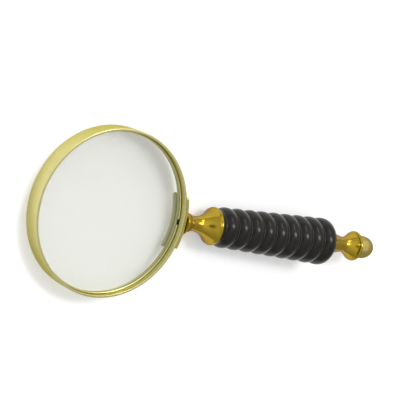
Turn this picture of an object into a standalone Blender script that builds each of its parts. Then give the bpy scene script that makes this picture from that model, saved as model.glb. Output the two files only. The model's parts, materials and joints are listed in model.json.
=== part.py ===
"""A brass hand magnifier with a ribbed black handle, as fifteen separate pieces.

Lengths at the top are in millimetres, and the model is built in metres. The pieces are laid out
in the magnifier's own frame: the middle of the lens at the origin, the handle along +X and the
front of the lens facing +Z. One empty then lays the whole of it down on the plane Z = 0, where
it rests on the far edge of the band and on the first rib of the grip.
"""

import math

import bmesh
import bpy

MM = 0.001
GAP = 0.3  # between two pieces that touch

# Lens and band
BAND_RADIUS = 52.0
BAND_WIDTH = 12.7
BAND_WALL = 1.5
RIM_CHAMFER = 0.2
GROOVE_DEPTH = 0.5
GROOVE_WIDTH = 1.8
LENS_EDGE = 2.6
LENS_BULGE = 4.4
LENS_MIDDLE_Z = -0.3
SNAP_WIRE_RADIUS = 0.6
SNAP_GAP = 3.6

# Saddle, back stop and boss
SADDLE_THICKNESS = 1.5
SADDLE_HALF_ANGLE = math.radians(17.6)
BACK_STOP_DEPTH = 3.5
BACK_STOP_THICKNESS = 1.2
BACK_STOP_HALF_ANGLE = math.radians(18.5)
BOSS_BASE_RADIUS = 8.3
BOSS_RIM = 0.9
BOSS_END_X = 57.5
BOSS_END_RADIUS = 6.1

# Handle
ROD_RADIUS = 2.0
ROD_START_X = 53.0
ROD_END_X = 206.5
WASHER_THICKNESS = 0.5
WASHER_RADIUS = 5.9
NECK_RADIUS = 4.9
NECK_X = 63.4
BELL_RADIUS = 12.2
BELL_END_X = 78.6
SOCKET_RADIUS = 9.2
SOCKET_DEPTH = 3.6
LOCK_NUT_FLATS = 7.0
LOCK_NUT_THICKNESS = 3.2
FIRST_VALLEY_X = 81.9
RIB_PITCH = 9.98
RIB_COUNT = 9
RIB_DEPTH = 2.2
FIRST_RIB_RADIUS = 13.05
LAST_RIB_RADIUS = 15.7
COVE_RADIUS = 11.3
GRIP_END_X = 172.4
GRIP_END_RADIUS = 11.0
POMMEL_BASE_RADIUS = 9.3
POMMEL_NECK_X = 188.0
POMMEL_NECK_RADIUS = 5.2
POMMEL_END_X = 196.7
POMMEL_END_RADIUS = 9.3
COLLAR_THICKNESS = 2.2
COLLAR_RADIUS = 10.1
NUT_RADIUS = 7.75
NUT_STRAIGHT = 5.9
NUT_DOME = 9.3
NUT_BORE_DEPTH = 8.0

# Facets round each turned piece
RING_SIDES = 64
HANDLE_SIDES = 32
WIRE_SIDES = 6

BAND_INNER = BAND_RADIUS - BAND_WALL
LENS_RADIUS = BAND_INNER - 0.4
SADDLE_INNER = BAND_RADIUS + GAP
SADDLE_OUTER = SADDLE_INNER + SADDLE_THICKNESS
BORE_RADIUS = ROD_RADIUS + GAP
SNAP_OFFSET = LENS_EDGE / 2 + GAP + SNAP_WIRE_RADIUS + 0.1
SNAP_HEIGHTS = {
    "front_snap_ring": LENS_MIDDLE_Z + SNAP_OFFSET,
    "rear_snap_ring": LENS_MIDDLE_Z - SNAP_OFFSET,
}
WASHER_X = BOSS_END_X + GAP
FERRULE_X = WASHER_X + WASHER_THICKNESS + GAP
GRIP_X = BELL_END_X + GAP
POMMEL_X = GRIP_END_X + GAP
COLLAR_X = POMMEL_END_X + GAP
NUT_X = COLLAR_X + COLLAR_THICKNESS + GAP
LAST_RIB_X = FIRST_VALLEY_X + (RIB_COUNT - 0.5) * RIB_PITCH


def clear_scene():
    for obj in list(bpy.data.objects):
        bpy.data.objects.remove(obj, do_unlink=True)


def material(name, color, roughness, metallic=0.0, transmission=0.0):
    made = bpy.data.materials.new(name)
    made.use_nodes = True
    made.diffuse_color = (*color, 1.0)
    surface = made.node_tree.nodes["Principled BSDF"]
    surface.inputs["Base Color"].default_value = (*color, 1.0)
    surface.inputs["Roughness"].default_value = roughness
    surface.inputs["Metallic"].default_value = metallic
    surface.inputs["Transmission Weight"].default_value = transmission
    return made


def add_object(name, bm, parent, finish):
    """Turns a bmesh into a smooth-shaded object under its parent, and makes metres of millimetres."""
    bmesh.ops.scale(bm, vec=(MM, MM, MM), verts=bm.verts)
    bmesh.ops.recalc_face_normals(bm, faces=bm.faces)
    mesh = bpy.data.meshes.new(name)
    bm.to_mesh(mesh)
    bm.free()
    mesh.shade_smooth()
    mesh.set_sharp_from_angle(angle=math.radians(35))
    obj = bpy.data.objects.new(name, mesh)
    bpy.context.collection.objects.link(obj)
    if finish:
        mesh.materials.append(finish)
    obj.parent = parent
    return obj


def turned(name, outline, parent, finish, sides=HANDLE_SIDES, upright=False):
    """A turned solid from its closed outline of (along, radius) points, round X, or round Z if upright.

    A point on the axis becomes one vertex. A flat, not a corner, faces along each axis.
    """
    bm = bmesh.new()
    rings = []
    for along, radius in outline:
        count = 1 if radius == 0 else sides
        ring = []
        for i in range(count):
            angle = (i + 0.5) * 2 * math.pi / sides
            across = (radius * math.cos(angle), radius * math.sin(angle))
            ring.append(bm.verts.new((*across, along) if upright else (along, *across)))
        rings.append(ring)
    for ring, following in zip(rings, rings[1:] + rings[:1]):
        for i in range(sides):
            j = (i + 1) % sides
            corners = [ring[i % len(ring)], ring[j % len(ring)]]
            corners += [following[j % len(following)], following[i % len(following)]]
            distinct = list(dict.fromkeys(corners))
            if len(distinct) > 2:
                bm.faces.new(distinct)
    return add_object(name, bm, parent, finish)


def arc_points(radius, start, end, steps):
    angles = [start + (end - start) * i / steps for i in range(steps + 1)]
    return [(radius * math.cos(a), radius * math.sin(a)) for a in angles]


def plate(name, outline, low, high, parent, finish):
    """A flat outline in XY, stood up between two heights."""
    bm = bmesh.new()
    face = bm.faces.new([bm.verts.new((x, y, low)) for x, y in outline])
    raised = bmesh.ops.extrude_face_region(bm, geom=[face])["geom"]
    moved = [item for item in raised if isinstance(item, bmesh.types.BMVert)]
    bmesh.ops.translate(bm, vec=(0, 0, high - low), verts=moved)
    return add_object(name, bm, parent, finish)


def split_ring(name, height, gap_angle, parent, finish):
    """A round wire bent into a ring, open where gap_angle says, with flat ends."""
    bm = bmesh.new()
    radius = BAND_INNER + GROOVE_DEPTH - GAP - SNAP_WIRE_RADIUS
    half_gap = SNAP_GAP / 2 / radius
    steps = RING_SIDES
    rings = []
    for i in range(steps + 1):
        turn = gap_angle + half_gap + (2 * math.pi - 2 * half_gap) * i / steps
        ring = []
        for k in range(WIRE_SIDES):
            round_wire = 2 * math.pi * k / WIRE_SIDES
            out = radius + SNAP_WIRE_RADIUS * math.cos(round_wire)
            up = height + SNAP_WIRE_RADIUS * math.sin(round_wire)
            ring.append(bm.verts.new((out * math.cos(turn), out * math.sin(turn), up)))
        rings.append(ring)
    for ring, following in zip(rings, rings[1:]):
        for k in range(WIRE_SIDES):
            j = (k + 1) % WIRE_SIDES
            bm.faces.new((ring[k], ring[j], following[j], following[k]))
    bm.faces.new(rings[0])
    bm.faces.new(rings[-1])
    return add_object(name, bm, parent, finish)


def cutter(name, outline, parent, sides, upright=False):
    obj = turned(name, outline, parent, None, sides, upright)
    obj.hide_render = True
    obj.display_type = "WIRE"
    return obj


def cut(obj, tool):
    modifier = obj.modifiers.new("cut_by_" + tool.name, "BOOLEAN")
    modifier.operation = "DIFFERENCE"
    modifier.solver = "EXACT"
    modifier.object = tool


def empty(name, parent, location=(0.0, 0.0, 0.0)):
    obj = bpy.data.objects.new(name, None)
    bpy.context.collection.objects.link(obj)
    obj.empty_display_size = 0.01
    obj.parent = parent
    obj.location = location
    return obj


def flare(narrow, wide, steps, power):
    """Points of a trumpet flank from a neck to a wide end, the neck's point included."""
    points = []
    for i in range(steps):
        part = i / steps
        along = narrow[0] + (wide[0] - narrow[0]) * part
        points.append((along, narrow[1] + (wide[1] - narrow[1]) * part**power))
    return points


def ridge_radius(x):
    """The grip's outer radius at a rib's crown: it widens evenly from the first rib to the last."""
    first_x = FIRST_VALLEY_X + RIB_PITCH / 2
    share = (x - first_x) / (LAST_RIB_X - first_x)
    return FIRST_RIB_RADIUS + (LAST_RIB_RADIUS - FIRST_RIB_RADIUS) * share


def rib_drop(offset):
    """How far a rib's round crown has fallen this far along from its middle."""
    arc_radius = ((RIB_PITCH / 2) ** 2 + RIB_DEPTH**2) / (2 * RIB_DEPTH)
    return arc_radius - math.sqrt(arc_radius**2 - offset**2)


def rest_tilt():
    """The least angle that lifts every rib's crown to the plane under the band's far edge."""
    flat = math.cos(math.pi / HANDLE_SIDES)
    angles = []
    for rib in range(RIB_COUNT):
        crown_x = FIRST_VALLEY_X + (rib + 0.5) * RIB_PITCH
        rise = ridge_radius(crown_x) * flat - BAND_WIDTH / 2
        angles.append(math.atan2(rise, crown_x + rim_contact_x()))
    return max(angles)


def rim_contact_x():
    return (BAND_RADIUS - RIM_CHAMFER) * math.cos(math.pi / RING_SIDES)


def make_rest_frame():
    """The empty that lays the magnifier down, with the middle of its footprint at the origin."""
    tilt = rest_tilt()
    height = rim_contact_x() * math.sin(tilt) + BAND_WIDTH / 2 * math.cos(tilt)
    rim_x = BAND_RADIUS * math.cos(math.pi / RING_SIDES)
    rim_z = BAND_WIDTH / 2 - RIM_CHAMFER
    low_x = -rim_x * math.cos(tilt) - rim_z * math.sin(tilt)
    high_x = (NUT_X + NUT_STRAIGHT + NUT_DOME) * math.cos(tilt)
    frame = empty("magnifier", None, (-(low_x + high_x) / 2 * MM, 0.0, height * MM))
    frame.rotation_euler = (0.0, -tilt, 0.0)
    return frame


def make_lens(parent, glass):
    low = LENS_MIDDLE_Z - LENS_EDGE / 2
    high = LENS_MIDDLE_Z + LENS_EDGE / 2
    sphere = (LENS_RADIUS**2 + LENS_BULGE**2) / (2 * LENS_BULGE)
    steps = 7
    front = []
    for i in range(1, steps + 1):
        radius = LENS_RADIUS * math.cos(math.pi / 2 * i / steps)
        fall = sphere - math.sqrt(sphere**2 - radius**2)
        front.append((high + LENS_BULGE - fall, 0 if i == steps else radius))
    back = [(low + high - along, radius) for along, radius in reversed(front)]
    outline = [(low, LENS_RADIUS), (high, LENS_RADIUS)] + front + back
    turned("lens", outline, parent, glass, RING_SIDES, upright=True)


def make_band(parent, brass, hole):
    top = BAND_WIDTH / 2
    groove = BAND_INNER + GROOVE_DEPTH
    outline = [
        (top - RIM_CHAMFER, BAND_RADIUS),
        (top, BAND_RADIUS - RIM_CHAMFER),
        (top, BAND_INNER + RIM_CHAMFER),
        (top - RIM_CHAMFER, BAND_INNER),
    ]
    for height in SNAP_HEIGHTS.values():
        upper = height + GROOVE_WIDTH / 2
        lower = height - GROOVE_WIDTH / 2
        outline += [(upper, BAND_INNER), (upper, groove), (lower, groove), (lower, BAND_INNER)]
    outline += [
        (-top + RIM_CHAMFER, BAND_INNER),
        (-top, BAND_INNER + RIM_CHAMFER),
        (-top, BAND_RADIUS - RIM_CHAMFER),
        (-top + RIM_CHAMFER, BAND_RADIUS),
    ]
    cut(turned("lens_band", outline, parent, brass, RING_SIDES, upright=True), hole)


def make_saddle(parent, brass, hole):
    outer = arc_points(SADDLE_OUTER, -SADDLE_HALF_ANGLE, SADDLE_HALF_ANGLE, 14)
    inner = arc_points(SADDLE_INNER, SADDLE_HALF_ANGLE, -SADDLE_HALF_ANGLE, 14)
    half = BAND_WIDTH / 2 - RIM_CHAMFER
    cut(plate("saddle_plate", outer + inner, -half, half, parent, brass), hole)


def make_back_stop(parent, brass):
    """A curved strip with half-round ends, just inside the back edge of the band."""
    outer_radius = BAND_INNER - GAP
    middle_radius = outer_radius - BACK_STOP_DEPTH / 2
    outer = arc_points(outer_radius, -BACK_STOP_HALF_ANGLE, BACK_STOP_HALF_ANGLE, 12)
    inner_radius = outer_radius - BACK_STOP_DEPTH
    inner = arc_points(inner_radius, BACK_STOP_HALF_ANGLE, -BACK_STOP_HALF_ANGLE, 12)
    outline = outer + round_end(middle_radius, BACK_STOP_HALF_ANGLE, 0.0)
    outline += inner + round_end(middle_radius, -BACK_STOP_HALF_ANGLE, math.pi)
    low = -BAND_WIDTH / 2 + GAP
    plate("back_stop", outline, low, low + BACK_STOP_THICKNESS, parent, brass)


def round_end(middle_radius, angle, turned_by):
    centre = (middle_radius * math.cos(angle), middle_radius * math.sin(angle))
    points = []
    for i in range(1, 6):
        a = angle + turned_by + math.pi * i / 6
        across = BACK_STOP_DEPTH / 2
        points.append((centre[0] + across * math.cos(a), centre[1] + across * math.sin(a)))
    return points


def make_boss(parent, brass, saddle_form):
    """A trumpet-shaped boss whose foot is hollowed to sit on the saddle."""
    rim_x = SADDLE_OUTER + GAP + BOSS_RIM
    flank = flare((BOSS_END_X, BOSS_END_RADIUS), (rim_x, BOSS_BASE_RADIUS), 5, 1.8)
    foot_x = SADDLE_OUTER - 2.0
    outline = [(foot_x, BORE_RADIUS), (foot_x, BOSS_BASE_RADIUS), (rim_x, BOSS_BASE_RADIUS)]
    outline += list(reversed(flank)) + [(BOSS_END_X, BORE_RADIUS)]
    cut(turned("handle_boss", outline, parent, brass), saddle_form)


def make_washer(parent, fibre):
    end = WASHER_X + WASHER_THICKNESS
    outline = [(WASHER_X, BORE_RADIUS), (WASHER_X, WASHER_RADIUS), (end, WASHER_RADIUS), (end, BORE_RADIUS)]
    turned("neck_washer", outline, parent, fibre)


def make_ferrule(parent, brass):
    """The neck and bell, with a socket at the back for the grip's tenon and the lock nut."""
    neck = (NECK_X, NECK_RADIUS)
    shoulder = (BELL_END_X - 2.0, BELL_RADIUS - 0.5)
    outline = [(FERRULE_X, BORE_RADIUS), (FERRULE_X, BOSS_END_RADIUS - 0.2)]
    outline += list(reversed(flare(neck, outline[-1], 4, 2.0)))
    outline += flare(neck, shoulder, 10, 2.15)[1:]
    outline += [shoulder, (BELL_END_X - 1.0, BELL_RADIUS), (BELL_END_X, BELL_RADIUS - 0.3)]
    socket_x = BELL_END_X - SOCKET_DEPTH
    outline += [(BELL_END_X, SOCKET_RADIUS), (socket_x, SOCKET_RADIUS), (socket_x, BORE_RADIUS)]
    turned("ferrule", outline, parent, brass)


def make_lock_nut(parent, steel):
    """A thin six-sided nut, its bore faceted like its outside."""
    start = BELL_END_X - SOCKET_DEPTH + GAP
    end = start + LOCK_NUT_THICKNESS
    corner = LOCK_NUT_FLATS / math.sqrt(3)
    bore = BORE_RADIUS / math.cos(math.pi / 6)
    outline = [(start, bore), (start, corner), (end, corner), (end, bore)]
    turned("rod_lock_nut", outline, parent, steel, sides=6)


def make_grip(parent, wood):
    """Ribs as equal round arcs on a widening body, hollowed in front to clear the lock nut."""
    tenon_x = BELL_END_X - SOCKET_DEPTH + GAP
    tenon_radius = SOCKET_RADIUS - GAP
    pocket_radius = LOCK_NUT_FLATS / math.sqrt(3) + GAP
    pocket_x = tenon_x + LOCK_NUT_THICKNESS + GAP
    bore = BORE_RADIUS + 0.2
    outline = [(pocket_x, bore), (pocket_x, pocket_radius), (tenon_x, pocket_radius)]
    outline += [(tenon_x, tenon_radius), (GRIP_X, tenon_radius), (GRIP_X, COVE_RADIUS + 0.3)]
    steps = 6
    for rib in range(RIB_COUNT):
        crown_x = FIRST_VALLEY_X + (rib + 0.5) * RIB_PITCH
        last = rib == RIB_COUNT - 1
        for i in range(steps // 2 + 1 if last else steps):
            offset = RIB_PITCH * (i / steps - 0.5)
            outline.append((crown_x + offset, ridge_radius(crown_x) - rib_drop(offset)))
    fall = LAST_RIB_RADIUS - GRIP_END_RADIUS
    for i in range(1, 5):
        angle = math.pi / 2 * i / 4
        along = LAST_RIB_X + (GRIP_END_X - LAST_RIB_X) * math.sin(angle)
        outline.append((along, GRIP_END_RADIUS + fall * math.cos(angle)))
    outline.append((GRIP_END_X, bore))
    turned("grip", outline, parent, wood)


def make_rod(parent, steel):
    outline = [(ROD_START_X, 0), (ROD_START_X, ROD_RADIUS), (ROD_END_X, ROD_RADIUS), (ROD_END_X, 0)]
    turned("tie_rod", outline, parent, steel, sides=16)


def make_pommel(parent, brass):
    neck = (POMMEL_NECK_X, POMMEL_NECK_RADIUS)
    front = flare(neck, (POMMEL_X, POMMEL_BASE_RADIUS), 7, 1.5)
    back = flare(neck, (POMMEL_END_X, POMMEL_END_RADIUS), 6, 1.5)
    outline = [(POMMEL_X, BORE_RADIUS), (POMMEL_X, POMMEL_BASE_RADIUS)]
    outline += list(reversed(front)) + back[1:]
    outline += [(POMMEL_END_X, POMMEL_END_RADIUS), (POMMEL_END_X, BORE_RADIUS)]
    turned("pommel", outline, parent, brass)


def make_end_collar(parent, brass):
    """A ring with a rounded outside."""
    half = COLLAR_THICKNESS / 2
    middle = COLLAR_X + half
    outline = [(COLLAR_X, BORE_RADIUS)]
    for i in range(7):
        angle = math.pi * i / 6
        outline.append((middle - half * math.cos(angle), COLLAR_RADIUS - 1.0 + math.sin(angle)))
    outline.append((COLLAR_X + COLLAR_THICKNESS, BORE_RADIUS))
    turned("end_collar", outline, parent, brass)


def make_end_nut(parent, brass):
    """A domed nut with a blind bore for the rod's end."""
    dome_x = NUT_X + NUT_STRAIGHT
    outline = [(NUT_X, BORE_RADIUS), (NUT_X, NUT_RADIUS - 0.4), (NUT_X + 0.4, NUT_RADIUS)]
    steps = 7
    for i in range(steps + 1):
        angle = math.pi / 2 * i / steps
        radius = 0 if i == steps else NUT_RADIUS * math.cos(angle)
        outline.append((dome_x + NUT_DOME * math.sin(angle), radius))
    bottom = NUT_X + NUT_BORE_DEPTH
    outline += [(bottom, 0), (bottom, BORE_RADIUS)]
    turned("end_nut", outline, parent, brass)


def main():
    clear_scene()
    pale_brass = material("pale_brass", (0.66, 0.57, 0.27), 0.32, metallic=1.0)
    gold_brass = material("gold_brass", (0.76, 0.54, 0.12), 0.14, metallic=1.0)
    knurled_brass = material("knurled_brass", (0.60, 0.48, 0.22), 0.42, metallic=1.0)
    steel = material("steel", (0.45, 0.44, 0.42), 0.35, metallic=1.0)
    glass = material("glass", (0.90, 0.94, 0.91), 0.02, transmission=1.0)
    wood = material("black_wood", (0.028, 0.027, 0.025), 0.25)
    fibre = material("red_fibre", (0.33, 0.10, 0.04), 0.6)

    magnifier = make_rest_frame()
    lens_frame = empty("lens_frame", magnifier)
    handle = empty("handle_axis", magnifier, (FERRULE_X * MM, 0.0, 0.0))
    handle_parts = empty("handle_parts", handle, (-FERRULE_X * MM, 0.0, 0.0))

    rod_length = [(BAND_INNER - 5, 0), (BAND_INNER - 5, BORE_RADIUS)]
    rod_length += [(SADDLE_OUTER + 5, BORE_RADIUS), (SADDLE_OUTER + 5, 0)]
    hole = cutter("rod_hole", rod_length, lens_frame, 16)
    form_radius = SADDLE_OUTER + GAP
    form = [(-BAND_WIDTH, 0), (-BAND_WIDTH, form_radius), (BAND_WIDTH, form_radius), (BAND_WIDTH, 0)]
    saddle_form = cutter("saddle_form", form, lens_frame, 2 * RING_SIDES, upright=True)

    make_lens(lens_frame, glass)
    make_band(lens_frame, pale_brass, hole)
    for name, height in SNAP_HEIGHTS.items():
        gap_angle = 0.0 if name == "front_snap_ring" else math.pi
        split_ring(name, height, gap_angle, lens_frame, pale_brass)
    make_saddle(lens_frame, pale_brass, hole)
    make_back_stop(lens_frame, pale_brass)
    make_boss(lens_frame, gold_brass, saddle_form)

    make_washer(handle_parts, fibre)
    make_ferrule(handle_parts, gold_brass)
    make_lock_nut(handle_parts, steel)
    make_grip(handle_parts, wood)
    make_rod(handle_parts, steel)
    make_pommel(handle_parts, gold_brass)
    make_end_collar(handle_parts, gold_brass)
    make_end_nut(handle_parts, knurled_brass)


main()
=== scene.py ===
"""The looks of a brass hand magnifier with a ribbed black handle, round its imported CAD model.

The shapes are worked out in the magnifier's own frame, in millimetres: the middle of the band at
the origin, the handle along +X and the front of the lens facing +Z. own_frame() reads where that
frame lies from the CAD model. Every piece keeps its own-frame coordinates in an attribute, which
its material reads, so brushing and turning lines run round the right axis.
"""

import json
import math

import bmesh
import bpy
import numpy as np
from mathutils import Matrix, Vector


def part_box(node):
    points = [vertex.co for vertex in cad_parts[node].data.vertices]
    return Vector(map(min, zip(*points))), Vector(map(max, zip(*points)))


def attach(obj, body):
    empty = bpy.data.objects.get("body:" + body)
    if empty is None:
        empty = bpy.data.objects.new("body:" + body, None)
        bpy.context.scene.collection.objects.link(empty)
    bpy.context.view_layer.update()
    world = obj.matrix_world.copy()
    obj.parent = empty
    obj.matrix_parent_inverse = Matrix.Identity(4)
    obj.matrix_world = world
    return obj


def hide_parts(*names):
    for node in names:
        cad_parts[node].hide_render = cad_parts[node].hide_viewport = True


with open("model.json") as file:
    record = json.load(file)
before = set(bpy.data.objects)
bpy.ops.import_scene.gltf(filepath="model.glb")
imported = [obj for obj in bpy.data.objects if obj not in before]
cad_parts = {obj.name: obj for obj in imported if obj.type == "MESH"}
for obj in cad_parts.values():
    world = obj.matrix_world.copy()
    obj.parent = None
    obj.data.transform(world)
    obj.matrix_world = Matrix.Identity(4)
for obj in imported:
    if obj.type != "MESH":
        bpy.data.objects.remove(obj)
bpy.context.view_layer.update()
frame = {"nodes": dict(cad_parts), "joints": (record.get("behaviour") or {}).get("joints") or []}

MM = 0.001
GAP = 0.3

# Lens and band
BAND_RADIUS = 52.0
BAND_WIDTH = 12.7
BAND_INNER = 50.5
GROOVE_DEPTH = 0.5
GROOVE_WIDTH = 1.8
LENS_RADIUS = 50.1
LENS_EDGE = 2.6
LENS_BULGE = 4.4
LENS_MIDDLE_Z = -0.3
SNAP_WIRE_RADIUS = 0.6
SNAP_OFFSET = 2.3
SNAP_GAP = 3.6

# Saddle, back stop and boss
SADDLE_INNER = BAND_RADIUS + GAP
SADDLE_OUTER = SADDLE_INNER + 1.5
SADDLE_HALF_ANGLE = math.radians(17.6)
BACK_STOP_DEPTH = 3.5
BACK_STOP_THICKNESS = 1.2
BACK_STOP_HALF_ANGLE = math.radians(18.5)
BOSS_BASE_RADIUS = 8.3
BOSS_END_X = 57.5
BOSS_END_RADIUS = 6.1

# Handle
ROD_RADIUS = 2.0
BORE_RADIUS = ROD_RADIUS + GAP
THREAD_PITCH = 0.7
THREAD_DEPTH = 0.38
ROD_START_X = 53.0
ROD_END_X = 206.5
FRONT_THREAD = 9.0
REAR_THREAD = 11.0
WASHER_X = BOSS_END_X + GAP
WASHER_THICKNESS = 0.5
WASHER_RADIUS = 5.9
FERRULE_X = WASHER_X + WASHER_THICKNESS + GAP
NECK_X = 63.4
NECK_RADIUS = 4.9
BELL_END_X = 78.6
BELL_RADIUS = 12.2
SOCKET_RADIUS = 9.2
SOCKET_DEPTH = 3.6
FIRST_VALLEY_X = 81.9
RIB_PITCH = 9.98
RIB_COUNT = 9
RIB_DEPTH = 2.2
FIRST_RIB_RADIUS = 13.05
LAST_RIB_RADIUS = 15.7
LAST_RIB_X = FIRST_VALLEY_X + (RIB_COUNT - 0.5) * RIB_PITCH
GRIP_END_X = 172.4
GRIP_END_RADIUS = 11.0
# How strongly and how far along the axis each valley is painted paler: dust with a painted highlight
DUST_AND_PAINTED_HIGHLIGHT_AMOUNT = 0.6
DUST_AND_PAINTED_HIGHLIGHT_REACH = 0.36
POMMEL_X = GRIP_END_X + GAP
POMMEL_BASE_RADIUS = 9.3
POMMEL_NECK_X = 188.0
POMMEL_NECK_RADIUS = 5.2
POMMEL_END_X = 196.7
POMMEL_END_RADIUS = 9.3
COLLAR_X = POMMEL_END_X + GAP
COLLAR_THICKNESS = 2.2
COLLAR_RADIUS = 10.1
NUT_X = COLLAR_X + COLLAR_THICKNESS + GAP
NUT_RADIUS = 7.75
NUT_STRAIGHT = 5.9
NUT_DOME = 9.3
NUT_BORE_DEPTH = 8.0
KNURL_TEETH = 34
KNURL_DEPTH = 0.26
KNURL_LEAD = 1.7

# Facets round each turned piece
RING_SIDES = 384
HANDLE_SIDES = 160
ROD_SIDES = 40
DRILL_SIDES = 48

# Edges sharper than this stay crisp, and corners sharper than that get a fillet
SHARP_EDGE = math.radians(32)
FILLETED_CORNER = math.radians(20)

# Camera
CAMERA_AT = (-0.5985, 0.1269, 0.7253)
CAMERA_LOOKS_AT = (-0.0144, 0.0148, 0.0085)
CAMERA_ROLL = math.radians(112.14)
CAMERA_LENS = 133.8

# Darker parts of the studio, as directions from the magnifier
PHOTOGRAPHER = (-0.62, 0.12, 0.77)
DIM_SIDE = (0.62, -0.20, 0.76)


# The magnifier's own frame

def own_frame():
    """The matrix that takes the own frame's millimetres to the CAD model's place, in metres."""
    turn = next(joint for joint in frame["joints"] if joint["name"] == "handle_turn")
    along = Vector(turn["axis"]).normalized()
    across = Vector((0.0, 1.0, 0.0))
    front = along.cross(across)
    low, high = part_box("lens")
    middle = (low + high) / 2 - front * LENS_MIDDLE_Z * MM
    place = Matrix((along, across, front)).transposed().to_4x4()
    place.translation = middle
    return place @ Matrix.Scale(MM, 4)


PLACE = own_frame()


# Mesh helpers

def placed_mesh(name, points, faces):
    """A mesh from own-frame points, in the CAD model's place."""
    mesh = bpy.data.meshes.new(name)
    mesh.from_pydata([PLACE @ Vector(p) for p in points], [], faces)
    return mesh


def face_outwards(mesh):
    bm = bmesh.new()
    bm.from_mesh(mesh)
    bmesh.ops.recalc_face_normals(bm, faces=bm.faces)
    bm.to_mesh(mesh)
    bm.free()


def keep_own_coordinates(mesh, points):
    """Stores each vertex's own-frame position, for the materials to read."""
    own = mesh.attributes.new("own", "FLOAT_VECTOR", "POINT")
    own.data.foreach_set("vector", np.array(points, np.float32).ravel())


def add_piece(name, points, faces, finish, body, slot, *nodes, sharp=SHARP_EDGE):
    """Makes a smooth-shaded piece from own-frame points, hangs it on its body and hides the CAD nodes it
    replaces.
    """
    mesh = placed_mesh(name, points, faces)
    # The own frame comes first: drill() loses it if it's added after the faces are turned
    keep_own_coordinates(mesh, points)
    face_outwards(mesh)
    mesh.shade_smooth()
    mesh.set_sharp_from_angle(angle=sharp)
    mesh.materials.append(finish)
    piece = bpy.data.objects.new(name, mesh)
    bpy.context.collection.objects.link(piece)
    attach(piece, body)
    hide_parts(*nodes)
    return piece


def rounded(outline, fillet, steps=4, closed=True):
    """The outline with each sharp corner cut by a short curve of the fillet's size."""
    result = []
    count = len(outline)
    for i, point in enumerate(outline):
        here = Vector(point)
        before = Vector(outline[i - 1]) - here
        after = Vector(outline[(i + 1) % count]) - here
        at_end = not closed and i in (0, count - 1)
        on_axis = here.y == 0
        if at_end or on_axis or before.length == 0 or after.length == 0:
            result.append(tuple(here))
            continue
        if math.pi - before.angle(after) < FILLETED_CORNER:
            result.append(tuple(here))
            continue
        reach = min(fillet, 0.45 * before.length, 0.45 * after.length)
        start = here + before.normalized() * reach
        end = here + after.normalized() * reach
        for k in range(steps + 1):
            t = k / steps
            result.append(tuple(start * (1 - t) ** 2 + here * 2 * t * (1 - t) + end * t * t))
    return result


def lathe(outline, sides, upright=False, shift=None):
    """Points and faces of a closed outline of (along, radius) turned round X, or round Z if upright.

    shift(along, radius, angle) may move a point: it returns a new (along, radius).
    """
    points, rings, faces = [], [], []
    for along, radius in outline:
        ring = []
        for i in range(1 if radius == 0 else sides):
            angle = i * 2 * math.pi / sides
            a, r = shift(along, radius, angle) if shift else (along, radius)
            across = (r * math.cos(angle), r * math.sin(angle))
            ring.append(len(points))
            points.append((*across, a) if upright else (a, *across))
        rings.append(ring)
    for ring, following in zip(rings, rings[1:] + rings[:1]):
        for i in range(sides):
            j = (i + 1) % sides
            corners = [ring[i % len(ring)], ring[j % len(ring)]]
            corners += [following[j % len(following)], following[i % len(following)]]
            distinct = list(dict.fromkeys(corners))
            if len(distinct) > 2:
                faces.append(distinct)
    return points, faces


def sweep(section, path_frames):
    """Points and faces of a closed section carried along frames of (centre, sideways, up), with flat ends."""
    points, faces = [], []
    count = len(section)
    for centre, sideways, up in path_frames:
        points += [tuple(Vector(centre) + Vector(sideways) * s + Vector(up) * u) for s, u in section]
    for i in range(len(path_frames) - 1):
        for k in range(count):
            j = (k + 1) % count
            base, following = i * count, (i + 1) * count
            faces.append((base + k, base + j, following + j, following + k))
    faces.append(tuple(range(count)))
    faces.append(tuple(range(len(points) - count, len(points))))
    return points, faces


def ring_frames(radius, start, end, steps, height=0.0):
    """Frames round the Z axis, with sideways pointing outwards."""
    frames = []
    for i in range(steps + 1):
        angle = start + (end - start) * i / steps
        out = (math.cos(angle), math.sin(angle), 0.0)
        frames.append(((radius * out[0], radius * out[1], height), out, (0.0, 0.0, 1.0)))
    return frames


def flare(narrow, wide, steps, power):
    """Points of a trumpet flank from its neck to its wide end, both included."""
    points = []
    for i in range(steps + 1):
        part = i / steps
        along = narrow[0] + (wide[0] - narrow[0]) * part
        points.append((along, narrow[1] + (wide[1] - narrow[1]) * part**power))
    return points


# Material helpers

def feed(socket, value):
    if isinstance(value, bpy.types.NodeSocket):
        socket.id_data.links.new(value, socket)
    else:
        socket.default_value = value


def make_node(tree, kind, settings=None, inputs=None):
    made = tree.nodes.new("ShaderNode" + kind)
    for key, value in (settings or {}).items():
        setattr(made, key, value)
    for key, value in (inputs or {}).items():
        feed(made.inputs[key], value)
    return made


def calculate(tree, operation, *values):
    made = make_node(tree, "Math", {"operation": operation})
    for socket, value in zip(made.inputs, values):
        feed(socket, value)
    return made.outputs[0]


def own_coordinates(tree):
    """The own-frame position of each point, and its X, Y and Z."""
    position = make_node(tree, "Attribute", {"attribute_name": "own"}).outputs["Vector"]
    return position, make_node(tree, "SeparateXYZ", inputs={0: position}).outputs


def noise(tree, vector, scale, detail=3.0, roughness=0.55):
    inputs = {"Vector": vector, "Scale": scale, "Detail": detail, "Roughness": roughness}
    return make_node(tree, "TexNoise", inputs=inputs).outputs[0]


def vector_of(tree, x, y, z):
    return make_node(tree, "CombineXYZ", inputs={0: x, 1: y, 2: z}).outputs[0]


def spread(tree, value, low, high, to_low=0.0, to_high=1.0):
    """Maps a value from low..high to to_low..to_high, and holds it there."""
    inputs = {"Value": value, "From Min": low, "From Max": high, "To Min": to_low, "To Max": to_high}
    return make_node(tree, "MapRange", inputs=inputs).outputs[0]


def mixed(tree, share, first, second):
    made = make_node(tree, "Mix", {"data_type": "RGBA"})
    feed(made.inputs[0], share)
    feed(made.inputs[6], first)
    feed(made.inputs[7], second)
    return made.outputs[2]


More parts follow.
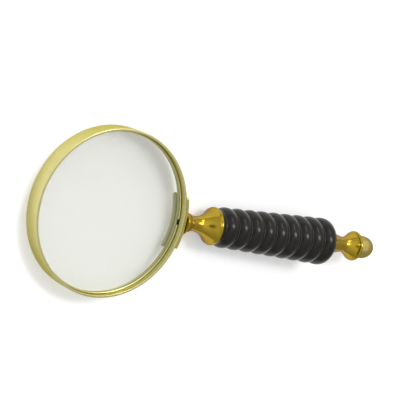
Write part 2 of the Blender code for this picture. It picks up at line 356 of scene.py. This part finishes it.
def bump(tree, height, strength, distance, normal=None):
    inputs = {"Height": height, "Strength": strength, "Distance": distance}
    if normal:
        inputs["Normal"] = normal
    return make_node(tree, "Bump", inputs=inputs).outputs[0]


def new_material(name):
    made = bpy.data.materials.new(name)
    made.use_nodes = True
    return made, made.node_tree, made.node_tree.nodes["Principled BSDF"]


def shades(color, factor):
    return (*(min(1.0, c * factor) for c in color), 1.0)


def brass(name, color, aged, roughness, line_depth, upright=False, aging=0.35, coat=0.0):
    """Turned brass: lines round its axis, soft colour changes, duller patches, and lacquer if coated."""
    made, tree, surface = new_material(name)
    position, axes = own_coordinates(tree)
    along, side, other = (axes[2], axes[0], axes[1]) if upright else (axes[0], axes[1], axes[2])
    angle = calculate(tree, "ARCTAN2", side, other)
    squares = [calculate(tree, "MULTIPLY", reach, reach) for reach in (side, other)]
    radius = calculate(tree, "SQRT", calculate(tree, "ADD", *squares))
    turned = vector_of(tree, along, calculate(tree, "MULTIPLY", angle, 0.35), radius)
    lines = noise(tree, turned, 7.0, 4.0, 0.7)
    clouds = noise(tree, position, 0.09, 4.0, 0.6)
    spots = noise(tree, position, 1.1, 5.0, 0.65)
    age = calculate(tree, "MULTIPLY", spread(tree, clouds, 0.35, 0.72), aging)
    speckle = calculate(tree, "MULTIPLY", spread(tree, spots, 0.60, 0.78), 0.5 * aging)
    tone = mixed(tree, calculate(tree, "ADD", age, speckle), shades(color, 1.0), shades(aged, 1.0))
    feed(surface.inputs["Base Color"], tone)
    surface.inputs["Metallic"].default_value = 1.0
    surface.inputs["Specular Tint"].default_value = shades(color, 0.9)
    surface.inputs["Coat Weight"].default_value = coat
    surface.inputs["Coat Roughness"].default_value = 0.12
    dull = calculate(tree, "MULTIPLY", spread(tree, lines, 0.3, 0.7), 0.35 * roughness)
    dull = calculate(tree, "ADD", dull, calculate(tree, "MULTIPLY", age, 0.25))
    feed(surface.inputs["Roughness"], calculate(tree, "ADD", dull, roughness * 0.85))
    feed(surface.inputs["Normal"], bump(tree, lines, 0.6, line_depth * MM))
    return made


def lens_glass():
    """Clear glass with a faint green-grey tint.

    Lamps shine through it on to what lies under it. Light that has been reflected once passes
    straight through its faces, so a thick edge seen from low down doesn't turn black.
    """
    made, tree, surface = new_material("lens_glass")
    surface.inputs["Base Color"].default_value = (0.81, 0.817, 0.794, 1.0)
    surface.inputs["Roughness"].default_value = 0.0
    surface.inputs["IOR"].default_value = 1.52
    surface.inputs["Transmission Weight"].default_value = 1.0
    shaded = make_node(tree, "BsdfTransparent", inputs={0: (0.65, 0.652, 0.64, 1.0)}).outputs[0]
    clear = make_node(tree, "BsdfTransparent", inputs={0: (0.86, 0.868, 0.838, 1.0)}).outputs[0]
    path = make_node(tree, "LightPath").outputs
    reflected = calculate(tree, "GREATER_THAN", path["Glossy Depth"], 0.5)
    body = make_node(tree, "MixShader", inputs={0: reflected, 1: surface.outputs[0], 2: clear}).outputs[0]
    lamps = make_node(tree, "MixShader", inputs={0: path["Is Shadow Ray"], 1: body, 2: shaded}).outputs[0]
    feed(tree.nodes["Material Output"].inputs["Surface"], lamps)
    return made


def ground_glass():
    """The frosted edge of the lens."""
    made, tree, surface = new_material("ground_glass")
    position, _ = own_coordinates(tree)
    grit = noise(tree, position, 6.0, 4.0, 0.7)
    tone = mixed(tree, spread(tree, grit, 0.3, 0.7), (0.68, 0.73, 0.52, 1), (0.58, 0.63, 0.42, 1))
    feed(surface.inputs["Base Color"], tone)
    surface.inputs["Roughness"].default_value = 0.85
    feed(surface.inputs["Normal"], bump(tree, grit, 0.4, 0.03 * MM))
    return made


def black_wood():
    """Ebonised wood under satin lacquer: grain along the handle, paler in the valleys, with dust and a
    painted highlight along each valley.
    """
    made, tree, surface = new_material("black_wood")
    position, axes = own_coordinates(tree)
    stretched = vector_of(tree, calculate(tree, "MULTIPLY", axes[0], 0.06), axes[1], axes[2])
    grain = noise(tree, stretched, 2.4, 5.0, 0.62)
    pores = noise(tree, stretched, 9.0, 2.0, 0.5)
    peel = noise(tree, position, 1.6, 2.0, 0.4)
    # This attribute paints the valleys paler: partly dust, partly a painted highlight for the light line a
    # glossy valley edge catches
    dust_and_painted_highlight = make_node(tree, "Attribute", {"attribute_name": "dust_and_painted_highlight"}).outputs["Fac"]
    dark, light = (0.0080, 0.0072, 0.0060, 1), (0.018, 0.0150, 0.0115, 1)
    body = mixed(tree, spread(tree, grain, 0.35, 0.7), dark, light)
    patches = spread(tree, noise(tree, position, 0.55), 0.25, 0.7, 0.35, 1.0)
    patchy = calculate(tree, "MULTIPLY", dust_and_painted_highlight, patches)
    feed(surface.inputs["Base Color"], mixed(tree, patchy, body, (0.20, 0.195, 0.18, 1)))
    satin = spread(tree, peel, 0.3, 0.7, 0.20, 0.30)
    rough = calculate(tree, "ADD", satin, calculate(tree, "MULTIPLY", dust_and_painted_highlight, 0.35))
    feed(surface.inputs["Roughness"], rough)
    surface.inputs["IOR"].default_value = 1.26
    surface.inputs["Coat Weight"].default_value = 0.14
    surface.inputs["Coat Roughness"].default_value = 0.16
    fine = bump(tree, pores, 0.15, 0.04 * MM)
    feed(surface.inputs["Normal"], bump(tree, peel, 0.25, 0.06 * MM, fine))
    return made


def steel():
    made, tree, surface = new_material("turned_steel")
    position, axes = own_coordinates(tree)
    lines = noise(tree, vector_of(tree, axes[0], 0.0, 0.0), 9.0, 4.0, 0.7)
    clouds = noise(tree, position, 0.35, 4.0)
    tone = mixed(tree, spread(tree, clouds, 0.35, 0.7), (0.50, 0.49, 0.47, 1), (0.36, 0.34, 0.31, 1))
    feed(surface.inputs["Base Color"], tone)
    surface.inputs["Metallic"].default_value = 1.0
    feed(surface.inputs["Roughness"], spread(tree, lines, 0.3, 0.7, 0.26, 0.40))
    feed(surface.inputs["Normal"], bump(tree, lines, 0.4, 0.02 * MM))
    return made


def red_fibre():
    made, tree, surface = new_material("red_fibre")
    position, _ = own_coordinates(tree)
    threads = noise(tree, position, 5.0, 5.0, 0.7)
    tone = mixed(tree, spread(tree, threads, 0.3, 0.7), (0.34, 0.13, 0.05, 1), (0.24, 0.085, 0.035, 1))
    feed(surface.inputs["Base Color"], tone)
    feed(surface.inputs["Roughness"], spread(tree, threads, 0.3, 0.7, 0.55, 0.72))
    feed(surface.inputs["Normal"], bump(tree, threads, 0.4, 0.03 * MM))
    return made


# The lens and what holds it

def make_lens(glass, ground):
    """Two equal round faces and a ground edge with small chamfers."""
    low, high = LENS_MIDDLE_Z - LENS_EDGE / 2, LENS_MIDDLE_Z + LENS_EDGE / 2
    sphere = (LENS_RADIUS**2 + LENS_BULGE**2) / (2 * LENS_BULGE)
    steps = 28
    chamfer = 0.25
    front = []
    for i in range(steps + 1):
        radius = (LENS_RADIUS - chamfer) * math.cos(math.pi / 2 * i / steps)
        fall = sphere - math.sqrt(sphere**2 - radius**2)
        front.append((high + LENS_BULGE - fall, 0 if i == steps else radius))
    back = [(low + high - along, radius) for along, radius in reversed(front)]
    edge = [(low + chamfer * 0.7, LENS_RADIUS), (high - chamfer * 0.7, LENS_RADIUS)]
    points, faces = lathe(edge + front + back, RING_SIDES // 2, upright=True)
    lens = add_piece("lens_glass_blank", points, faces, glass, "lens_frame", "glass", "lens",
                     sharp=math.radians(25))
    lens.data.materials.append(ground)
    for face in lens.data.polygons:
        if all(math.hypot(*points[i][:2]) > LENS_RADIUS - 1.5 * chamfer for i in face.vertices):
            face.material_index = 1


def drill(piece, radius, start_x, end_x):
    """Cuts a round hole along the handle's axis, then drops the drill."""
    points, faces = lathe([(start_x, 0), (start_x, radius), (end_x, radius), (end_x, 0)], DRILL_SIDES)
    mesh = placed_mesh("drill", points, faces)
    face_outwards(mesh)
    tool = bpy.data.objects.new("drill", mesh)
    bpy.context.collection.objects.link(tool)
    modifier = piece.modifiers.new("hole", "BOOLEAN")
    modifier.object = tool
    modifier.solver = "EXACT"
    bpy.context.view_layer.update()
    cut = bpy.data.meshes.new_from_object(piece.evaluated_get(bpy.context.evaluated_depsgraph_get()))
    piece.modifiers.clear()
    piece.data = cut
    cut.set_sharp_from_angle(angle=SHARP_EDGE)
    bpy.data.objects.remove(tool, do_unlink=True)


def make_band(finish):
    """The flat band, with softly rounded rims and the two snap-ring grooves inside."""
    top = BAND_WIDTH / 2
    groove = BAND_INNER + GROOVE_DEPTH
    outline = [(top, BAND_RADIUS), (top, BAND_INNER)]
    for side in (1, -1):
        height = LENS_MIDDLE_Z + side * SNAP_OFFSET
        upper, lower = height + GROOVE_WIDTH / 2, height - GROOVE_WIDTH / 2
        outline += [(upper, BAND_INNER), (upper, groove), (lower, groove), (lower, BAND_INNER)]
    outline += [(-top, BAND_INNER), (-top, BAND_RADIUS)]
    points, faces = lathe(rounded(outline, 0.28), RING_SIDES, upright=True)
    band = add_piece("band", points, faces, finish, "lens_frame", "pale_brass", "lens_band")
    drill(band, BORE_RADIUS, BAND_INNER - 4, BAND_RADIUS + 4)


def make_snap_rings(finish):
    section = [(SNAP_WIRE_RADIUS * math.cos(a), SNAP_WIRE_RADIUS * math.sin(a))
               for a in (2 * math.pi * k / 14 for k in range(14))]
    radius = BAND_INNER + GROOVE_DEPTH - GAP - SNAP_WIRE_RADIUS
    half_gap = SNAP_GAP / 2 / radius
    for name, side, opening in (("front_snap_ring", 1, 0.0), ("rear_snap_ring", -1, math.pi)):
        height = LENS_MIDDLE_Z + side * SNAP_OFFSET
        start, end = opening + half_gap, opening + 2 * math.pi - half_gap
        points, faces = sweep(section, ring_frames(radius, start, end, 320, height))
        add_piece(name + "_wire", points, faces, finish, "lens_frame", "pale_brass", name,
                  sharp=math.radians(50))


def make_saddle(finish):
    """A curved plate on the band, its edges eased."""
    half = BAND_WIDTH / 2 - 0.2
    inner, outer = SADDLE_INNER, SADDLE_OUTER
    outline = [(inner, -half), (outer, -half), (outer, half), (inner, half)]
    middle = (inner + outer) / 2
    section = [(r - middle, z) for r, z in rounded(outline, 0.3)]
    ease = 0.35 / middle
    frames = ring_frames(middle, -SADDLE_HALF_ANGLE + ease, SADDLE_HALF_ANGLE - ease, 60)
    points, faces = sweep(section, frames)
    count = len(section)
    # Each flat end gives way to a slightly smaller one a little further round the band
    for end, turn in ((0, -1), (len(points) - count, 1)):
        faces = [face for face in faces if len(face) == 4 or face[0] != end]
        eased = []
        angle = turn * SADDLE_HALF_ANGLE
        out = Vector((math.cos(angle), math.sin(angle), 0.0))
        for s, u in section:
            eased.append(len(points))
            points.append(tuple(out * (middle + s * 0.75) + Vector((0, 0, u * 0.965))))
        for k in range(count):
            j = (k + 1) % count
            faces.append((end + k, end + j, eased[j], eased[k]))
        faces.append(tuple(eased))
    piece = add_piece("saddle", points, faces, finish, "lens_frame", "saddle_brass", "saddle_plate")
    drill(piece, BORE_RADIUS, BAND_INNER - 4, SADDLE_OUTER + 4)


def make_back_stop(finish):
    """A curved strip with half-round ends and eased edges, near the band's back edge."""
    outer_radius = BAND_INNER - GAP
    middle_radius = outer_radius - BACK_STOP_DEPTH / 2
    low = -BAND_WIDTH / 2 + GAP
    half = BACK_STOP_DEPTH / 2
    ease = 0.22

    def arc(centre, radius, start, end, steps):
        angles = (start + (end - start) * i / steps for i in range(steps + 1))
        return [(centre[0] + radius * math.cos(a), centre[1] + radius * math.sin(a)) for a in angles]

    def strip_outline(inset):
        """The strip's outer edge, one round end, its inner edge and the other round end."""
        across = half - inset
        side = BACK_STOP_HALF_ANGLE
        ends = [(middle_radius * math.cos(a), middle_radius * math.sin(a)) for a in (side, -side)]
        line = arc((0, 0), middle_radius + across, -side, side, 32)
        line += arc(ends[0], across, side, side + math.pi, 16)[1:-1]
        line += arc((0, 0), middle_radius - across, side, -side, 32)
        line += arc(ends[1], across, math.pi - side, 2 * math.pi - side, 16)[1:-1]
        return line

    levels = [(low, ease), (low + ease, 0.0), (low + BACK_STOP_THICKNESS - ease, 0.0),
              (low + BACK_STOP_THICKNESS, ease)]
    points, faces = [], []
    for height, inset in levels:
        points += [(x, y, height) for x, y in strip_outline(inset)]
    count = len(points) // len(levels)
    for level in range(len(levels) - 1):
        for k in range(count):
            j = (k + 1) % count
            base = level * count
            faces.append((base + k, base + j, base + count + j, base + count + k))
    faces.append(tuple(range(count)))
    faces.append(tuple(range(len(points) - count, len(points))))
    add_piece("back_stop_strip", points, faces, finish, "lens_frame", "pale_brass", "back_stop")


def make_boss(finish):
    """The trumpet foot of the handle: its base follows the saddle's curve."""
    seat = SADDLE_OUTER + GAP
    rim_x = seat + 0.9
    flank = flare((BOSS_END_X - 0.7, BOSS_END_RADIUS - 0.12), (rim_x, BOSS_BASE_RADIUS - 0.35), 20, 1.8)
    outline = [(seat, BORE_RADIUS), (seat, BOSS_BASE_RADIUS), (rim_x, BOSS_BASE_RADIUS)]
    outline += [(rim_x, BOSS_BASE_RADIUS - 0.35)] + list(reversed(flank))[1:]
    outline += [(BOSS_END_X - 0.6, BOSS_END_RADIUS), (BOSS_END_X, BOSS_END_RADIUS), (BOSS_END_X, BORE_RADIUS)]

    def follow_saddle(along, radius, angle):
        """Points on the foot drop on to the saddle, which curves round Z."""
        if along > seat + 1e-6:
            return along, radius
        side = radius * math.cos(angle)
        return math.sqrt(seat**2 - side**2), radius

    points, faces = lathe(rounded(outline, 0.2), HANDLE_SIDES, shift=follow_saddle)
    add_piece("boss", points, faces, finish, "lens_frame", "gold_brass", "handle_boss")


# The handle

def make_washer(finish):
    end = WASHER_X + WASHER_THICKNESS
    outline = [(WASHER_X, BORE_RADIUS), (WASHER_X, WASHER_RADIUS), (end, WASHER_RADIUS), (end, BORE_RADIUS)]
    points, faces = lathe(rounded(outline, 0.12), HANDLE_SIDES)
    add_piece("fibre_washer", points, faces, finish, "neck_washer", "fibre", "neck_washer")


def make_ferrule(finish):
    """The neck and the bell, with a rolled lip and a fine line before it."""
    neck = (NECK_X, NECK_RADIUS)
    front_radius = BOSS_END_RADIUS - 0.2
    lip_x = BELL_END_X - 1.5
    outline = [(FERRULE_X, BORE_RADIUS), (FERRULE_X, front_radius), (FERRULE_X + 0.7, front_radius)]
    outline += list(reversed(flare(neck, (FERRULE_X + 0.8, front_radius - 0.25), 12, 2.0)))
    outline += flare(neck, (BELL_END_X - 2.4, BELL_RADIUS - 0.62), 36, 2.15)[1:]
    outline += [(lip_x - 0.45, BELL_RADIUS - 0.40), (lip_x - 0.25, BELL_RADIUS - 0.58)]
    lip = (BELL_END_X - lip_x) / 2
    for i in range(13):
        angle = math.pi * i / 12
        bulge = 0.42 * math.sin(angle) ** 0.7
        outline.append((lip_x + lip - lip * math.cos(angle), BELL_RADIUS - 0.42 + bulge))
    socket_x = BELL_END_X - SOCKET_DEPTH
    outline += [(BELL_END_X, SOCKET_RADIUS), (socket_x, SOCKET_RADIUS), (socket_x, BORE_RADIUS)]
    points, faces = lathe(rounded(outline, 0.15), HANDLE_SIDES)
    add_piece("bell_ferrule", points, faces, finish, "handle", "gold_brass", "ferrule")


def rib_line():
    """The ribs' outline of (along, radius), each a round arc, with a small bead in every valley."""
    arc_radius = ((RIB_PITCH / 2) ** 2 + RIB_DEPTH**2) / (2 * RIB_DEPTH)
    slope = (LAST_RIB_RADIUS - FIRST_RIB_RADIUS) / (LAST_RIB_X - FIRST_VALLEY_X - RIB_PITCH / 2)
    line = []
    for rib in range(RIB_COUNT):
        crown_x = FIRST_VALLEY_X + (rib + 0.5) * RIB_PITCH
        crown = FIRST_RIB_RADIUS + slope * rib * RIB_PITCH
        last = rib == RIB_COUNT - 1
        steps = 28
        for i in range(1, (steps // 2 if last else steps - 1) + 1):
            offset = RIB_PITCH * (i / steps - 0.5)
            drop = arc_radius - math.sqrt(arc_radius**2 - offset**2)
            line.append((crown_x + offset, crown - drop))
        if not last:
            valley_x = crown_x + RIB_PITCH / 2
            floor = crown - RIB_DEPTH + slope * RIB_PITCH / 2
            for i in range(7):
                angle = math.pi * i / 6
                line.append((valley_x - 0.26 * math.cos(angle), floor + 0.02 + 0.22 * math.sin(angle)))
    return line


def make_grip(finish):
    tenon_x = BELL_END_X - SOCKET_DEPTH + GAP
    grip_x = BELL_END_X + GAP
    bore = BORE_RADIUS + 0.2
    pocket = 4.34
    pocket_x = tenon_x + 3.5
    cove = FIRST_RIB_RADIUS - RIB_DEPTH + 0.1
    outline = [(pocket_x, bore), (pocket_x, pocket), (tenon_x, pocket), (tenon_x, SOCKET_RADIUS - GAP)]
    outline += [(grip_x, SOCKET_RADIUS - GAP), (grip_x, cove + 0.75), (grip_x + 0.7, cove + 0.62)]
    outline += [(FIRST_VALLEY_X - 1.3, cove + 0.08), (FIRST_VALLEY_X - 0.4, cove)]
    outline += rib_line()
    fall = LAST_RIB_RADIUS - GRIP_END_RADIUS
    for i in range(1, 17):
        angle = math.pi / 2 * i / 16
        along = LAST_RIB_X + (GRIP_END_X - LAST_RIB_X) * math.sin(angle)
        outline.append((along, GRIP_END_RADIUS + fall * math.cos(angle)))
    outline.append((GRIP_END_X, bore))
    points, faces = lathe(rounded(outline, 0.25), HANDLE_SIDES)
    grip = add_piece("ribbed_grip", points, faces, finish, "handle", "black_wood", "grip")
    valleys = [FIRST_VALLEY_X + k * RIB_PITCH for k in range(1, RIB_COUNT)]
    # Paler rings at every valley after the first, for the grip's material: dust with a painted highlight
    dust_and_painted_highlight = []
    for along, *_ in points:
        near = min(abs(along - valley) for valley in valleys)
        dust_and_painted_highlight.append(DUST_AND_PAINTED_HIGHLIGHT_AMOUNT * max(0.0, 1.0 - near / DUST_AND_PAINTED_HIGHLIGHT_REACH))
    layer = grip.data.attributes.new("dust_and_painted_highlight", "FLOAT", "POINT")
    layer.data.foreach_set("value", dust_and_painted_highlight)


def make_rod(finish):
    """The tie rod, with a cut thread at both ends."""
    threads = ((ROD_START_X, ROD_START_X + FRONT_THREAD), (ROD_END_X - REAR_THREAD, ROD_END_X))
    stations = [ROD_START_X, ROD_START_X + 0.35]
    for start, end in threads:
        count = round((end - start) / THREAD_PITCH * 8)
        stations += [start + (end - start) * i / count for i in range(count + 1)]
    stations = sorted(set(round(s, 4) for s in stations))
    outline = [(ROD_START_X, 0)]
    outline += [(x, ROD_RADIUS) for x in stations]
    outline += [(ROD_END_X, 0)]

    def thread(along, radius, angle):
        if radius == 0:
            return along, radius
        cut = 0.0
        for start, end in threads:
            if start <= along <= end:
                phase = (along / THREAD_PITCH - angle / (2 * math.pi)) % 1.0
                fade = min(1.0, (along - start) / 0.3 + (1 if start == ROD_START_X else 0))
                fade *= min(1.0, (end - along) / 0.3 + (1 if end == ROD_END_X else 0))
                cut = THREAD_DEPTH * abs(2 * phase - 1) * fade
        tip = min(along - ROD_START_X, ROD_END_X - along)
        return along, min(radius - cut, ROD_RADIUS - 0.45 + tip)

    points, faces = lathe(outline, ROD_SIDES, shift=thread)
    add_piece("threaded_rod", points, faces, finish, "handle", "steel", "tie_rod")


def make_pommel(finish):
    """A waisted flare, with a fine line turned near each end."""
    neck = (POMMEL_NECK_X, POMMEL_NECK_RADIUS)
    front = flare(neck, (POMMEL_X + 1.0, POMMEL_BASE_RADIUS - 0.3), 30, 1.5)
    back = flare(neck, (POMMEL_END_X - 1.1, POMMEL_END_RADIUS - 0.42), 26, 1.5)
    outline = [(POMMEL_X, BORE_RADIUS), (POMMEL_X, POMMEL_BASE_RADIUS), (POMMEL_X + 0.6, POMMEL_BASE_RADIUS)]
    outline += [(POMMEL_X + 0.85, POMMEL_BASE_RADIUS - 0.35)]
    outline += list(reversed(front)) + back[1:]
    outline += [(POMMEL_END_X - 0.85, POMMEL_END_RADIUS - 0.55)]
    outline += [(POMMEL_END_X - 0.7, POMMEL_END_RADIUS - 0.08)]
    outline += [(POMMEL_END_X - 0.35, POMMEL_END_RADIUS), (POMMEL_END_X, POMMEL_END_RADIUS - 0.2)]
    outline += [(POMMEL_END_X, BORE_RADIUS)]
    points, faces = lathe(rounded(outline, 0.15), HANDLE_SIDES)
    add_piece("flared_pommel", points, faces, finish, "handle", "gold_brass", "pommel")


def make_collar(finish):
    half = COLLAR_THICKNESS / 2
    middle = COLLAR_X + half
    outline = [(COLLAR_X, BORE_RADIUS)]
    for i in range(25):
        angle = math.pi * i / 24
        outline.append((middle - half * math.cos(angle), COLLAR_RADIUS - 1.0 + math.sin(angle)))
    outline.append((COLLAR_X + COLLAR_THICKNESS, BORE_RADIUS))
    points, faces = lathe(rounded(outline, 0.12), HANDLE_SIDES)
    add_piece("collar", points, faces, finish, "end_collar", "gold_brass", "end_collar")


def make_nut(finish):
    """A domed nut with a diamond knurl that runs out on the dome."""
    dome_x = NUT_X + NUT_STRAIGHT
    outline = [(NUT_X, BORE_RADIUS), (NUT_X, NUT_RADIUS - 0.45), (NUT_X + 0.5, NUT_RADIUS)]
    outline += [(NUT_X + 0.5 + (NUT_STRAIGHT - 0.5) * i / 24, NUT_RADIUS) for i in range(1, 24)]
    steps = 44
    for i in range(steps + 1):
        angle = math.pi / 2 * i / steps
        radius = 0 if i == steps else NUT_RADIUS * math.cos(angle)
        outline.append((dome_x + NUT_DOME * math.sin(angle), radius))
    bottom = NUT_X + NUT_BORE_DEPTH
    outline += [(bottom, 0), (bottom, BORE_RADIUS)]
    knurl_end = dome_x + NUT_DOME * 0.72

    def knurl(along, radius, angle):
        if radius < BORE_RADIUS + 1e-6 or along >= knurl_end or radius < NUT_RADIUS * 0.5:
            return along, radius
        fade = min(1.0, max(0.0, (along - NUT_X - 0.4) / 0.5), (knurl_end - along) / 2.0)
        slant = 2 * math.pi * along / KNURL_LEAD
        cuts = [0.5 + 0.5 * math.cos(KNURL_TEETH * angle + way * slant) for way in (1, -1)]
        return along, radius - KNURL_DEPTH * fade * max(cuts) ** 3

    points, faces = lathe(outline, KNURL_TEETH * 8, shift=knurl)
    add_piece("knurled_nut", points, faces, finish, "end_nut", "knurled_brass", "end_nut",
              sharp=math.radians(60))


def finish_lock_nut(finish):
    """The lock nut is a plain hexagon already, so it only takes its finish."""
    nut = frame["nodes"]["rod_lock_nut"]
    back = PLACE.inverted()
    keep_own_coordinates(nut.data, [back @ v.co for v in nut.data.vertices])
    for material_slot in nut.material_slots:
        material_slot.material = finish


# Stage, light and camera

def make_floor():
    points = [(x, y, 0.0) for x in (-4.0, 4.0) for y in (-4.0, 4.0)]
    mesh = bpy.data.meshes.new("floor")
    mesh.from_pydata(points, [], [(0, 2, 3, 1)])
    made, tree, surface = new_material("floor_white")
    where = make_node(tree, "NewGeometry").outputs["Position"]
    tone = mixed(tree, noise(tree, where, 3.0), (0.88, 0.88, 0.88, 1), (0.895, 0.895, 0.895, 1))
    feed(surface.inputs["Base Color"], tone)
    surface.inputs["Roughness"].default_value = 0.9
    surface.inputs["Specular IOR Level"].default_value = 0.1
    surface.inputs["Emission Color"].default_value = (1.0, 1.0, 1.0, 1.0)
    surface.inputs["Emission Strength"].default_value = 0.22
    mesh.materials.append(made)
    floor = bpy.data.objects.new("floor", mesh)
    bpy.context.collection.objects.link(floor)


def make_world():
    """Soft studio surroundings: bright overhead, dimmer near the horizon and on two sides."""
    world = bpy.data.worlds.new("studio")
    bpy.context.scene.world = world
    world.use_nodes = True
    tree = world.node_tree
    background = tree.nodes["Background"]
    direction = make_node(tree, "TexCoord").outputs["Generated"]
    axes = make_node(tree, "SeparateXYZ", inputs={0: direction}).outputs
    tone = mixed(tree, spread(tree, axes[2], 0.0, 0.8), (0.55, 0.55, 0.55, 1), (0.95, 0.95, 0.955, 1))
    near_side = spread(tree, axes[1], -0.9, 0.1, 0.6, 0.0)
    tone = mixed(tree, near_side, tone, (0.25, 0.25, 0.24, 1))
    for place, edge, core, depth in ((DIM_SIDE, 0.72, 0.93, 0.45), (PHOTOGRAPHER, 0.955, 0.985, 0.85)):
        toward = make_node(tree, "VectorMath", {"operation": "DOT_PRODUCT"}, {0: direction, 1: place})
        share = spread(tree, toward.outputs["Value"], edge, core, 0.0, depth)
        tone = mixed(tree, share, tone, (0.10, 0.10, 0.09, 1))
    feed(background.inputs["Color"], tone)
    background.inputs["Strength"].default_value = 1.13


def make_light(name, direction, distance, size, power):
    """A soft box that looks at the middle of the object from that direction, unseen through the lens."""
    light = bpy.data.lights.new(name, "AREA")
    light.shape = "RECTANGLE"
    light.size, light.size_y = size
    light.energy = power
    lamp = bpy.data.objects.new(name, light)
    bpy.context.collection.objects.link(lamp)
    away = Vector(direction).normalized()
    lamp.location = away * distance
    lamp.rotation_mode = "QUATERNION"
    lamp.rotation_quaternion = away.to_track_quat("Z", "Y")
    lamp.visible_transmission = False


def make_camera():
    camera = bpy.data.cameras.new("camera")
    camera.lens = CAMERA_LENS
    camera.sensor_width = 36.0
    view = bpy.data.objects.new("camera", camera)
    bpy.context.collection.objects.link(view)
    place, target = Vector(CAMERA_AT), Vector(CAMERA_LOOKS_AT)
    view.location = place
    view.rotation_mode = "QUATERNION"
    aim = (place - target).to_track_quat("Z", "Y")
    view.rotation_quaternion = aim @ Matrix.Rotation(CAMERA_ROLL, 3, "Z").to_quaternion()
    bpy.context.scene.camera = view


def main():
    make_camera()
    make_floor()
    make_world()
    make_light("overhead", (0.21, 0.42, 0.94), 1.5, (0.56, 0.34), 7.5)
    make_light("far_side", (0.11, 0.85, 0.52), 1.3, (0.18, 0.6), 1.5)
    bpy.context.scene.view_settings.view_transform = "Standard"

    pale = brass("pale_brass", (0.68, 0.635, 0.29), (0.58, 0.535, 0.225), 0.26, 0.010, upright=True)
    saddle = brass("saddle_brass", (0.60, 0.49, 0.13), (0.48, 0.38, 0.09), 0.26, 0.012,
                   upright=True, aging=0.6)
    gold = brass("gold_brass", (0.44, 0.30, 0.012), (0.30, 0.205, 0.014), 0.13, 0.004, aging=0.5, coat=0.4)
    knurled = brass("knurled_brass", (0.50, 0.40, 0.14), (0.36, 0.28, 0.09), 0.28, 0.02, aging=0.6)
    # The back stop's brass is painted much paler: painted light standing in for the light the lens keeps off
    # it
    strip = brass("brass_painted_lighter", (0.93, 0.91, 0.80), (0.80, 0.74, 0.56), 0.3, 0.010, upright=True)
    metal = steel()

    make_lens(lens_glass(), ground_glass())
    make_band(pale)
    make_snap_rings(pale)
    make_saddle(saddle)
    make_back_stop(strip)
    make_boss(gold)
    make_washer(red_fibre())
    make_ferrule(gold)
    make_grip(black_wood())
    make_rod(metal)
    make_pommel(gold)
    make_collar(gold)
    make_nut(knurled)
    finish_lock_nut(metal)


main()
